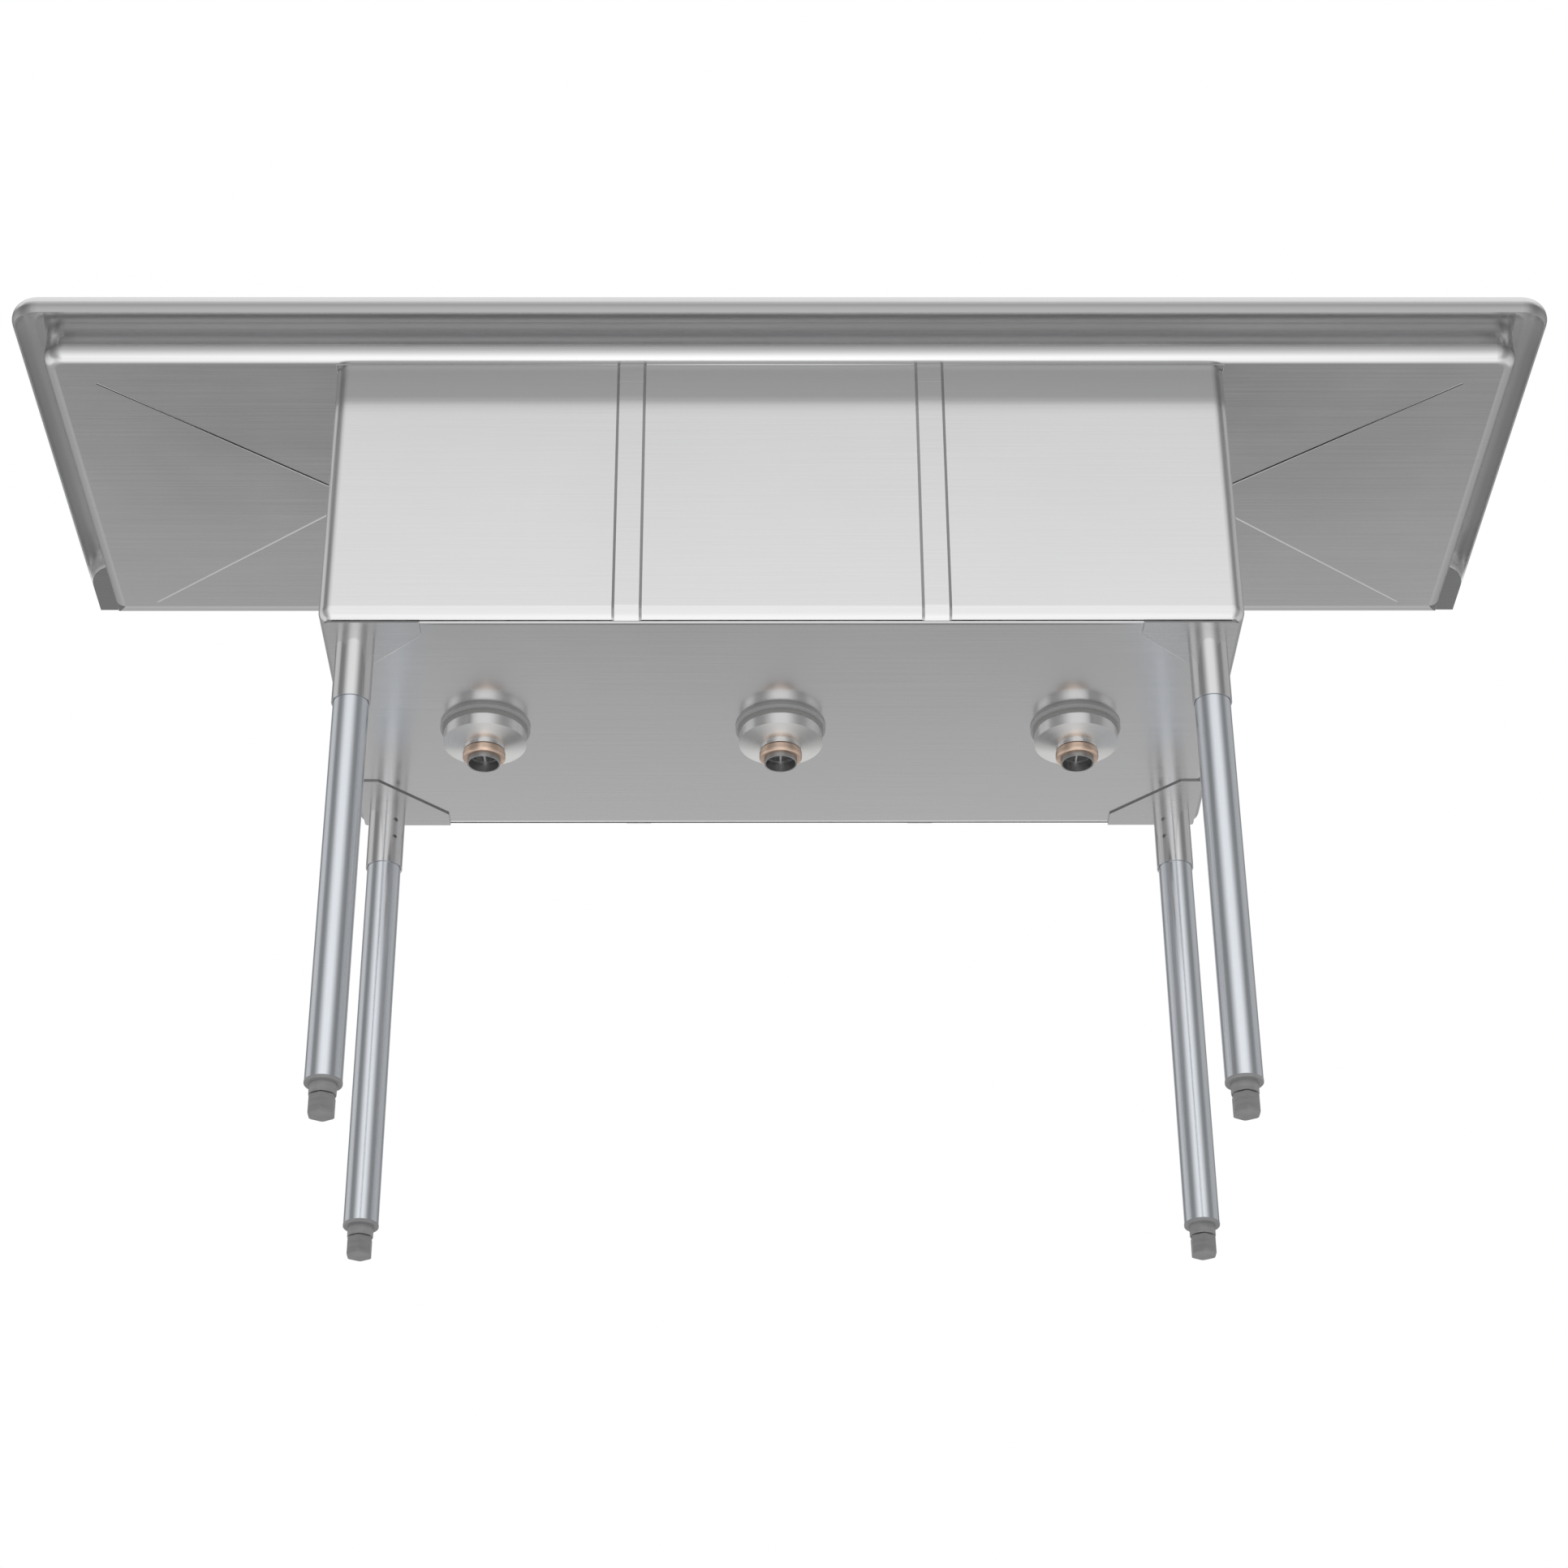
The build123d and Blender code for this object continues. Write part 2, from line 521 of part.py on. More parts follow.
def drain_body():
    """Flanged steel bowl that drops through the floor of a sink bowl, with a crossed outlet."""
    seat = SHEET + DRAIN_FLANGE_THICKNESS
    flange = tube(DRAIN_FLANGE_RADIUS, DRAIN_BORE_RADIUS, SHEET, seat)
    flange = chamfer(flange.edges().filter_by(GeomType.CIRCLE).sort_by(Axis.Z)[-1], 1.0)
    floor_top = DRAIN_FLOOR_THICKNESS - DRAIN_DEPTH
    wall = tube(DRAIN_THROAT_RADIUS, DRAIN_BORE_RADIUS, -DRAIN_DEPTH, SHEET)
    floor = tube(DRAIN_THROAT_RADIUS, OUTLET_BORE, -DRAIN_DEPTH, floor_top)
    outlet = tube(OUTLET_RADIUS, OUTLET_BORE, -OUTLET_DROP, -DRAIN_DEPTH)
    reach, tall = 2 * OUTLET_RADIUS, 3 * OUTLET_DROP
    cross = Box(reach, CROSS_BAR_WIDTH, tall) + Box(CROSS_BAR_WIDTH, reach, tall)
    bars = disc(OUTLET_BORE + 0.5, -OUTLET_DROP, CROSS_BAR_HEIGHT - OUTLET_DROP) & cross
    hub = disc(CROSS_HUB_RADIUS, -OUTLET_DROP, CROSS_HUB_HEIGHT - OUTLET_DROP)
    return flange + wall + floor + outlet + bars + hub


def drain_gasket():
    """Rubber ring clamped under the floor of a bowl."""
    return tube(GASKET_RADIUS, DRAIN_THROAT_RADIUS + DRAIN_HOLE_GAP, -GASKET_THICKNESS, 0)


def friction_washer():
    """Fibre ring that lets the cup nut turn without dragging the gasket round."""
    return tube(WASHER_RADIUS, DRAIN_THROAT_RADIUS + DRAIN_HOLE_GAP, CUP_TOP, -GASKET_THICKNESS)


def cup_nut():
    """Spun cup that screws up the drain body: a straight band, a shallow cone and a neck."""
    cone_top = CUP_TOP - CUP_HEIGHT
    cone_low = cone_top - CUP_CONE_DROP
    under_body = -DRAIN_DEPTH - DRAIN_HOLE_GAP
    outline = Polyline(
        (DRAIN_THROAT_RADIUS + 0.1, CUP_TOP),
        (CUP_RADIUS, CUP_TOP),
        (CUP_RADIUS, cone_top),
        (CUP_NECK_RADIUS, cone_low),
        (CUP_NECK_RADIUS, CUP_FOOT),
        (OUTLET_RADIUS + 0.1, CUP_FOOT),
        (OUTLET_RADIUS + 0.1, under_body),
        (DRAIN_THROAT_RADIUS + 0.1, under_body),
        close=True,
    )
    return revolve(Plane.XZ * make_face(outline), Axis.Z)


def slip_nut():
    """Brass nut with a rounded outside that holds the tailpiece against the outlet."""
    nut = tube(SLIP_NUT_RADIUS, TAIL_RADIUS + 0.1, CUP_FOOT - SLIP_NUT_HEIGHT, CUP_FOOT)
    rims = nut.edges().filter_by(GeomType.CIRCLE).group_by(SortBy.LENGTH)[-1]
    return fillet(rims, 3.6)


def tailpiece():
    """Short outlet tube, the place where the waste pipe joins."""
    return tube(TAIL_RADIUS, TAIL_BORE, -TAIL_END_DROP, -OUTLET_DROP - DRAIN_HOLE_GAP)


def strainer_basket():
    """Lift-out crumb cup with a slotted floor, a seat ring and a knob on a post."""
    low = BASKET_TOP - BASKET_DEPTH
    wall = tube(BASKET_RADIUS, BASKET_RADIUS - BASKET_SHEET, low + BASKET_SHEET, BASKET_TOP)
    floor = disc(BASKET_RADIUS, low, low + BASKET_SHEET)
    slot = Pos(BASKET_RADIUS * 0.62, 0, low) * Box(BASKET_SLOT_LENGTH, BASKET_SLOT_WIDTH, 4)
    for step in range(BASKET_SLOTS):
        floor -= Rot(0, 0, 360 / BASKET_SLOTS * step) * slot
    post = disc(BASKET_POST_RADIUS, -BASKET_POST_FOOT, BASKET_KNOB_RISE)
    knob = Sphere(BASKET_KNOB_RADIUS) & block(-20, 20, -20, 20, -1.5, 6.0)
    return wall + floor + post + Pos(0, 0, BASKET_KNOB_RISE) * knob


def drain_pieces():
    """Every piece of the three drains; gaskets and washers share a node each."""
    pieces = {}
    for name, place in BOWLS.items():
        axis = drain_axis(place)
        pieces[f"{name}_drain_body"] = axis * drain_body()
        pieces[f"{name}_cup_nut"] = axis * cup_nut()
        pieces[f"{name}_slip_nut"] = axis * slip_nut()
        pieces[f"{name}_tailpiece"] = axis * tailpiece()
        pieces[f"{name}_strainer_basket"] = axis * strainer_basket()
    axes = [drain_axis(place) for place in BOWLS.values()]
    pieces["drain_gaskets"] = Compound(children=[axis * drain_gasket() for axis in axes])
    pieces["friction_washers"] = Compound(children=[axis * friction_washer() for axis in axes])
    return pieces


# ---------------------------------------------------------------- the whole sink
def leg_pieces():
    """Gusset, socket, leg, insert and foot at each corner of the bowls."""
    pieces = {"set_screws": set_screws()}
    for name, corner in CORNERS.items():
        pieces[f"{name}_gusset"] = gusset(corner)
        pieces[f"{name}_leg_socket"] = socket(corner)
        pieces[f"{name}_leg"] = leg(corner)
        pieces[f"{name}_foot_insert"] = foot_insert(corner)
        pieces[f"{name}_foot"] = foot(corner)
    return pieces


def all_pieces():
    """Every node of the sink by name, centred front to back."""
    pieces = deck_pieces()
    pieces["backsplash"] = backsplash()
    for name, side in SIDES.items():
        pieces[f"{name}_splash_closure"] = splash_closure(side)
        pieces[f"{name}_divider"] = divider(side)
    pieces.update(bowl_sheets())
    pieces["front_gap_strips"] = gap_strips(True)
    pieces["rear_gap_strips"] = gap_strips(False)
    pieces.update(leg_pieces())
    pieces.update(drain_pieces())
    return {name: Pos(0, CENTRING, 0) * piece for name, piece in pieces.items()}


os.makedirs("parts", exist_ok=True)
for node, shape in all_pieces().items():
    export_step(shape, f"parts/{node}.step")
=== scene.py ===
"""Looks of the three compartment sink: materials, small visual details, studio and camera.

Everything is in metres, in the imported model's own frame: +X right, -Y towards the user, +Z up.
"""

from math import cos, pi, radians, sin, tau

import bpy
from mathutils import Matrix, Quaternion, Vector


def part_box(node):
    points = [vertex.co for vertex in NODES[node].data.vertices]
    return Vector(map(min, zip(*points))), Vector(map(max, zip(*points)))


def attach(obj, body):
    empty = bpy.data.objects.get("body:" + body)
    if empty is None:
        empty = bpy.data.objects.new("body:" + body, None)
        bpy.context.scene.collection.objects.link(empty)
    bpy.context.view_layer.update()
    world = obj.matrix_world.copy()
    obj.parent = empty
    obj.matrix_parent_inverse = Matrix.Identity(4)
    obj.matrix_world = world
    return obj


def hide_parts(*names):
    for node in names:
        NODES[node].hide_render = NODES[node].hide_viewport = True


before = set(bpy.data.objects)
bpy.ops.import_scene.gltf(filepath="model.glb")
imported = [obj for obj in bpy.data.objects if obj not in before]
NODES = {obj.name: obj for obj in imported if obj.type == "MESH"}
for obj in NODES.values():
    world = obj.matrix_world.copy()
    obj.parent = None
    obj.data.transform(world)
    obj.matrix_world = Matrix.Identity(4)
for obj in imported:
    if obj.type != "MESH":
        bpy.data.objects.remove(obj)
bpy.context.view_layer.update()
ROOT = "sink"

# ---------------------------------------------------------------- view
CAMERA_PLACE = (-0.0313, -3.4043, -1.4728)
CAMERA_PITCH = 30.589  # degrees above the horizon
CAMERA_YAW = 0.341  # degrees towards +X
CAMERA_ROLL = -0.210
CAMERA_LENS = 75.45  # mm, on the sensor below
CAMERA_SENSOR = 36.0
CAMERA_SHIFT = 0.0080  # sideways, in image widths

# ---------------------------------------------------------------- studio
WHITE = (1.0, 1.0, 1.0, 1.0)
FLOOR_SIZE = 30.0
FLOOR_TINT = (0.86, 0.86, 0.86, 1.0)
SMOOTH_ANGLE = 32.0  # degrees; sharper edges stay sharp

# Brightness of the studio against elevation in degrees, in three directions.
FRONT_LIGHT = (
    (-90, 1.30),
    (-60, 1.30),
    (-30, 1.12),
    (0, 1.12),
    (30, 1.12),
    (34, 0.97),
    (36, 0.92),
    (42, 0.60),
    (50, 0.75),
    (58, 0.95),
    (90, 0.95),
)
SIDE_LIGHT = (
    (-90, 1.30),
    (-66, 0.80),
    (-45, 0.46),
    (0, 0.40),
    (20, 0.26),
    (38, 0.27),
    (58, 0.95),
    (90, 0.95),
)
BACK_LIGHT = (
    (-90, 1.30),
    (-66, 1.05),
    (-47, 0.20),
    (-38, 0.20),
    (-36, 0.29),
    (-34, 0.39),
    (-31, 0.58),
    (-27, 0.60),
    (-20, 0.85),
    (0, 0.85),
    (40, 0.80),
    (58, 0.95),
    (90, 0.95),
)
FRONT_WIDTH = (10.0, 56.0)  # degrees either way: full light up to the first, side light past the second
BACK_WIDTH = (8.0, 34.0)
LEFT_PANEL = (-102.0, 32.0, 0.42)  # direction, half-width and brightness
RIGHT_PANEL = (104.0, 38.0, 0.26)
PANEL_CORE = 0.4  # share of a panel's half-width that is fully bright
PANEL_ENDS = (40.0, 60.0)  # degrees above and below the horizon where the panels fade out
ROOM_LIGHT = 0.95  # what matt surfaces and the floor receive


# ---------------------------------------------------------------- places on the sink
BOWLS_LOW, BOWLS_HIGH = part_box("bowl_wrap")
DECK_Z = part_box("left_drainboard")[0][2]
RIM_TOP_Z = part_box("front_rim")[1][2]
BEND_RADIUS = 0.016  # outside of the bowls' bottom bends
BEND_LINE_ANGLE = 65.0  # degrees round a bottom bend, from its upright end
BEND_LINE_RADIUS = 0.0009
BEAD_ROUNDNESS = 3  # curve steps in a quarter of a bead's section
CREASE_END = (0.826, -0.2321)  # front creases, from the corners of the drainboards
CREASE_MEET = (0.5335, 0.0063)  # to the ends of the bowls
CREASE_DEPTH = 0.0003
CREASE_LINE_RADIUS = 0.0004
GUSSET_CLIP = 0.027  # width of the gussets' clipped tips
GUSSET_EDGE_RADIUS = 0.0006
DECK_WELD_RADIUS = 0.0006
FOOT_HEX_HEIGHT = 0.022
FOOT_STEM_RADIUS = 0.0061
THREAD_PITCH = 0.00195
THREAD_DEPTH = 0.0009
THREAD_STEPS = 8  # rings in one turn of the thread
THREAD_CREST = 1.25  # above 1, so that each ridge has a flat top
HEX_SEGMENTS = 144
STEM_SEGMENTS = 48
HEX_CHAMFER = ((0.0, 0.0008), (0.0004, 0.0002), (0.0007, 0.0))  # height and cut at the corners
CORNERS = ("front_left", "front_right", "rear_left", "rear_right")

# Painted light of outward-facing sheet against height in metres, multiplied into its colour: painted
# shade where the rim sees the darker side of the room in its lower half and where its wall sits in the
# shade of the roll, a painted highlight in the cove where the factor passes 1; the top of the bowls
# gets painted shade too.
RIM_PAINTED_LIGHT = (
    (DECK_Z, 0.90),
    (DECK_Z + 0.0008, 1.02),
    (DECK_Z + 0.0020, 1.14),
    (DECK_Z + 0.0055, 0.98),
    (DECK_Z + 0.0085, 0.76),
    (DECK_Z + 0.0110, 0.60),
    (DECK_Z + 0.0130, 0.55),
    (DECK_Z + 0.0160, 0.56),
    (DECK_Z + 0.0200, 0.80),
    (DECK_Z + 0.0240, 0.92),
    (DECK_Z + 0.0280, 0.92),
    (DECK_Z + 0.0315, 0.85),
    (DECK_Z + 0.0365, 0.70),
    (DECK_Z + 0.0395, 0.64),
    (DECK_Z + 0.0415, 0.60),
    (DECK_Z + 0.0460, 0.55),
    (DECK_Z + 0.0480, 0.50),
    (DECK_Z + 0.0505, 0.50),
    (DECK_Z + 0.0530, 0.85),
    (DECK_Z + 0.0560, 1.0),
)
# Painted shade on the outside of the bowls, darkest from 47 mm below the deck upwards.
BOWL_PAINTED_SHADE = (
    (DECK_Z - 0.075, 1.0),
    (DECK_Z - 0.068, 0.95),
    (DECK_Z - 0.061, 0.86),
    (DECK_Z - 0.054, 0.62),
    (DECK_Z - 0.047, 0.53),
)
OUTWARD_GAIN = 16.0  # brings place times direction up to 1 on any face that looks outward
COVE_MIDDLE_Z = DECK_Z + 0.006  # the ends of the sink take no painted light below here
COVE_TOP_Z = DECK_Z + 0.012
FLAT_REAR_Y = 0.2522  # where the drainboards start to turn up into the backsplash
LIP_Z = DECK_Z + 0.038  # just under the lip of the rolled rim
WALL_TOP_Z = DECK_Z + 0.0395  # the wall behind the roll keeps this height's painted shade further up
WALL_X = 0.8885  # outer faces of that wall
WALL_Y = 0.2895
REAR_COVE_PAINTED_SHADE = 0.42  # painted shade under the cove below the backsplash
SWEEP_Y = (0.212, 0.250)  # where the side rims start to turn up
SWEEP_X = 0.882  # inner edge of the side rims
SWEEP_TOP_Z = LIP_Z + 0.05
ROLL_X = 0.9032  # centre of a side rim's roll
ROLL_FRONT_Y = (-0.285, -0.265)  # where it leaves the rounded front corner
ROLL_Z = RIM_TOP_Z - 0.019
SWEEP_SHEEN = 0.9  # share of soft light where the side rims turn up
# Painted highlight in the colour under the swept ends of the side rims.
SWEEP_PAINTED_HIGHLIGHT = 1.32
ROLL_INSIDE_SHEEN = 0.75  # and inside their rolls
# Painted shade in the colour inside those rolls.
ROLL_INSIDE_PAINTED_SHADE = 0.72
INSIDE_SHEEN = 0.34  # and on the worn faces inside the sink
SHADE_ROUGHNESS = 0.30  # extra roughness where the painted outward shade is darkest
SIDE_PAINTED_LIGHT_SHARE = 0.75  # how much of the painted outward light faces at the ends of the sink take


# ---------------------------------------------------------------- node helpers
class Graph:
    """A node tree with short calls for the nodes that the materials below share."""

    def __init__(self, tree):
        self.tree = tree
        self.tree.nodes.clear()

    def node(self, kind, **values):
        """A node with attributes set by name."""
        made = self.tree.nodes.new(kind)
        for name, value in values.items():
            setattr(made, name, value)
        return made

    def link(self, source, target):
        """Joins an output to an input."""
        self.tree.links.new(source, target)

    def feed(self, target, value):
        """Puts a number, a tuple or another node's output into an input."""
        if isinstance(value, bpy.types.NodeSocket):
            self.link(value, target)
        else:
            target.default_value = value

    def math(self, operation, a, b=0.0, clamp=False):
        """One step of arithmetic on numbers or outputs."""
        made = self.node("ShaderNodeMath", operation=operation, use_clamp=clamp)
        self.feed(made.inputs[0], a)
        self.feed(made.inputs[1], b)
        return made.outputs[0]

    def times(self, first, *others):
        """The product of two or more values."""
        product = first
        for value in others:
            product = self.math("MULTIPLY", product, value)
        return product

    def plus(self, a, b):
        """The sum of two values."""
        return self.math("ADD", a, b)

    def minus(self, a, b):
        """What is left of a when b is taken away."""
        return self.math("SUBTRACT", a, b)

    def unsigned(self, value):
        """A value without its sign."""
        return self.math("ABSOLUTE", value)

    def ramp(self, factor, stops):
        """A colour ramp; stops are (position, grey or colour)."""
        made = self.node("ShaderNodeValToRGB")
        ramp = made.color_ramp
        while len(ramp.elements) < len(stops):
            ramp.elements.new(0.5)
        for element, (position, value) in zip(ramp.elements, stops):
            element.position = position
            element.color = (value, value, value, 1) if isinstance(value, float) else (*value, 1)
        self.feed(made.inputs[0], factor)
        return made.outputs[0]

    def remap(self, value, low, high, new_low, new_high):
        """A value carried from one range to another and kept inside it."""
        made = self.node("ShaderNodeMapRange")
        for socket, item in zip(made.inputs, (value, low, high, new_low, new_high)):
            self.feed(socket, item)
        return made.outputs[0]

    def mix(self, factor, a, b):
        """Mixes two colours."""
        made = self.node("ShaderNodeMix", data_type="RGBA")
        self.feed(made.inputs[0], factor)
        self.feed(made.inputs[6], a)
        self.feed(made.inputs[7], b)
        return made.outputs[2]

    def place(self, scale=(1, 1, 1)):
        """Object coordinates in metres, scaled on each axis."""
        source = self.node("ShaderNodeTexCoord")
        mapping = self.node("ShaderNodeMapping")
        self.link(source.outputs["Object"], mapping.inputs[0])
        mapping.inputs["Scale"].default_value = scale
        return mapping.outputs[0]

    def noise(self, vector, scale, detail=3.0, roughness=0.55):
        """Soft noise from 0 to 1."""
        made = self.node("ShaderNodeTexNoise")
        self.link(vector, made.inputs["Vector"])
        made.inputs["Scale"].default_value = scale
        made.inputs["Detail"].default_value = detail
        made.inputs["Roughness"].default_value = roughness
        return made.outputs[0]

    def scaled(self, tint, factor):
        """A fixed colour made lighter or darker by a number."""
        made = self.node("ShaderNodeVectorMath", operation="SCALE")
        made.inputs[0].default_value = tint
        self.link(factor, made.inputs["Scale"])
        return made.outputs[0]

    def object_place(self):
        """The x, y and z of the shaded point, in metres."""
        source = self.node("ShaderNodeTexCoord")
        split = self.node("ShaderNodeSeparateXYZ")
        self.link(source.outputs["Object"], split.inputs[0])
        return split.outputs

    def facing(self):
        """The x, y and z of the surface's direction."""
        source = self.node("ShaderNodeNewGeometry")
        split = self.node("ShaderNodeSeparateXYZ")
        self.link(source.outputs["Normal"], split.inputs[0])
        return split.outputs

    def outward_along(self, axis):
        """1 on faces that look away from the middle of the sink along x (0) or y (1)."""
        away = self.times(self.object_place()[axis], self.facing()[axis])
        return self.math("MULTIPLY", away, OUTWARD_GAIN, clamp=True)

    def outward(self):
        """1 on faces that look away from the middle of the sink, 0 on level and inward ones."""
        place, facing = self.object_place(), self.facing()
        away = self.plus(self.times(place[0], facing[0]), self.times(place[1], facing[1]))
        return self.math("MULTIPLY", away, OUTWARD_GAIN, clamp=True)

    def painted_light_share(self):
        """How much painted light a face takes: like outward, but weaker on faces that look to the left
        or right.
        """
        above_cove = self.remap(self.object_place()[2], COVE_MIDDLE_Z, COVE_TOP_Z, 0.0, 1.0)
        sideways = self.times(self.outward_along(0), above_cove, SIDE_PAINTED_LIGHT_SHARE)
        return self.math("MAXIMUM", self.outward_along(1), sideways)

    def painted_light_height(self):
        """Height of the shaded point for the painted light, held at one value on the wall that runs up
        behind the roll.
        """
        x, y, z = self.object_place()
        inner_x = self.math("LESS_THAN", self.unsigned(x), WALL_X)
        inner_y = self.math("LESS_THAN", self.unsigned(y), WALL_Y)
        excess = self.math("MAXIMUM", self.minus(z, WALL_TOP_Z), 0.0)
        return self.minus(z, self.times(excess, inner_x, inner_y))

    def inside(self):
        """1 on faces that look up or into the sink, 0 on outward ones and undersides."""
        upright = self.remap(self.facing()[2], -0.5, -0.25, 0.0, 1.0)
        return self.times(upright, self.minus(1.0, self.outward()))

    def between_limits(self, value, low, high):
        """1 while a value is between two others, 0 outside them."""
        above = self.math("GREATER_THAN", value, low)
        return self.times(above, self.math("LESS_THAN", value, high))

    def on_side_rims(self):
        """1 beyond the inner edges of the side rims."""
        return self.math("GREATER_THAN", self.unsigned(self.object_place()[0]), SWEEP_X)

    def painted_outward_light(self, tone):
        """Painted light and shade: a colour factor against height, from (height, factor) pairs, on
        outward faces.
        """
        low, high = tone[0][0], tone[-1][0]
        peak = max(factor for _, factor in tone)
        stops = tuple(((height - low) / (high - low), factor / peak) for height, factor in tone)
        level = self.remap(self.painted_light_height(), low, high, 0.0, 1.0)
        change = self.minus(self.times(self.ramp(level, stops), peak), 1.0)
        return self.plus(1.0, self.times(self.painted_light_share(), change))

    def rear_cove(self):
        """1 on the underside of the cove below the backsplash, where painted shade goes."""
        place = self.object_place()
        behind = self.math("GREATER_THAN", place[1], FLAT_REAR_Y)
        below = self.math("LESS_THAN", place[2], LIP_Z)
        return self.times(behind, below, self.outward())

    def sweep(self):
        """1 on the underside of the side rims where they turn up into the backsplash; it carries a
        painted highlight there.
        """
        place = self.object_place()
        rising = self.remap(place[1], *SWEEP_Y, 0.0, 1.0)
        downward = self.remap(self.facing()[2], 0.0, -0.3, 0.0, 1.0)
        level = self.between_limits(place[2], LIP_Z, SWEEP_TOP_Z)
        return self.times(rising, downward, level, self.on_side_rims())

    def roll_inside(self):
        """1 on the inside of the rolls along the two ends of the sink, up to the sweep, where painted
        shade goes.
        """
        place, facing = self.object_place(), self.facing()
        out_x = self.times(facing[0], self.math("SIGN", place[0]))
        across = self.times(self.minus(self.unsigned(place[0]), ROLL_X), out_x)
        upward = self.times(self.minus(place[2], ROLL_Z), facing[2])
        inward = self.math("LESS_THAN", self.plus(across, upward), 0.0)
        level = self.between_limits(place[2], LIP_Z, RIM_TOP_Z)
        behind_corner = self.remap(place[1], *ROLL_FRONT_Y, 0.0, 1.0)
        before_sweep = self.minus(1.0, self.sweep())
        return self.times(inward, level, behind_corner, before_sweep, self.on_side_rims())

    def blended(self, mask, factor):
        """A factor where a mask is 1, and 1 where it is 0."""
        return self.plus(1.0, self.times(mask, factor - 1))

    def edge_tone(self, factor):
        """A factor for the upright cut edges of a level plate, and 1 on its faces."""
        return self.remap(self.unsigned(self.facing()[2]), 0.3, 0.7, factor, 1.0)

    def painted_under_shade(self, factor):
        """Painted shade: a colour factor for faces that look straight down, and 1 on all others."""
        return self.remap(self.facing()[2], -0.9, -0.7, factor, 1.0)

    def bump(self, height, distance, normal=None):
        """Fine relief, over another one where a normal is given."""
        made = self.node("ShaderNodeBump")
        made.inputs["Distance"].default_value = distance
        self.link(height, made.inputs["Height"])
        if normal is not None:
            self.link(normal, made.inputs["Normal"])
        return made.outputs[0]

    def surface(self, **inputs):
        """A Principled shader wired to the output; names use _ for spaces."""
        shader = self.node("ShaderNodeBsdfPrincipled")
        for name, value in inputs.items():
            self.feed(shader.inputs[name.replace("_", " ")], value)
        output = self.node("ShaderNodeOutputMaterial")
        self.link(shader.outputs[0], output.inputs[0])


def new_material(name):
    """A material and the graph that builds it."""
    material = bpy.data.materials.new(name)
    material.use_nodes = True
    return material, Graph(material.node_tree)


def shaded(tint, factor):
    """A colour made lighter or darker, with full cover."""
    return (*(factor * part for part in tint), 1)


# ---------------------------------------------------------------- materials
def brushed_sheet(name, tint, grain, roughness=0.17, tone=None, rim=False, edge=1.0, under=1.0):
    """Satin stainless sheet; grain is the scale on each axis, small along the brushing."""
    material, g = new_material(name)
    lines = g.noise(g.place(grain), 1.0, detail=4.0, roughness=0.7)
    cloud = g.noise(g.place(), 5.0, detail=3.0)
    wave = g.noise(g.place(), 2.2, detail=1.0)
    shade = g.times(g.remap(lines, 0.25, 0.75, 0.965, 1.035), g.remap(cloud, 0.3, 0.7, 0.985, 1.015))
    rough = g.remap(lines, 0.2, 0.8, roughness - 0.03, roughness + 0.04)
    rough = g.plus(rough, g.remap(cloud, 0.35, 0.75, 0.0, 0.05))
    sheen = g.times(g.inside(), INSIDE_SHEEN)
    # Painted light and shade multiplied into the colour: by height on outward faces, under the rear
    # cove, under the side rims' sweep, inside their rolls and on faces that look down.
    if tone:
        level = g.painted_outward_light(tone)
        shade = g.times(shade, level)
        rough = g.plus(rough, g.remap(level, 0.4, 0.8, SHADE_ROUGHNESS, 0.0))
    if rim:
        shade = g.times(shade, g.blended(g.rear_cove(), REAR_COVE_PAINTED_SHADE))
        sheen, shade = rim_sheen(g, sheen, shade)
    if edge < 1:
        shade = g.times(shade, g.edge_tone(edge))
    if under < 1:
        shade = g.times(shade, g.painted_under_shade(under))
    relief = g.bump(wave, 0.00025, normal=g.bump(lines, 0.000012))
    metal = g.minus(1.0, sheen)
    g.surface(Base_Color=g.scaled(tint, shade), Metallic=metal, Roughness=rough, Normal=relief)
    return material


def rim_sheen(g, sheen, shade):
    """The softer light under the swept ends of the side rims and inside their rolls: a less metallic
    share, with a painted highlight under the sweep and painted shade inside the rolls.
    """
    parts = (
        (g.sweep(), SWEEP_SHEEN, SWEEP_PAINTED_HIGHLIGHT),
        (g.roll_inside(), ROLL_INSIDE_SHEEN, ROLL_INSIDE_PAINTED_SHADE),
    )
    for mask, part_sheen, part_tone in parts:
        sheen = g.math("MAXIMUM", sheen, g.times(mask, part_sheen))
        shade = g.times(shade, g.blended(mask, part_tone))
    return sheen, shade


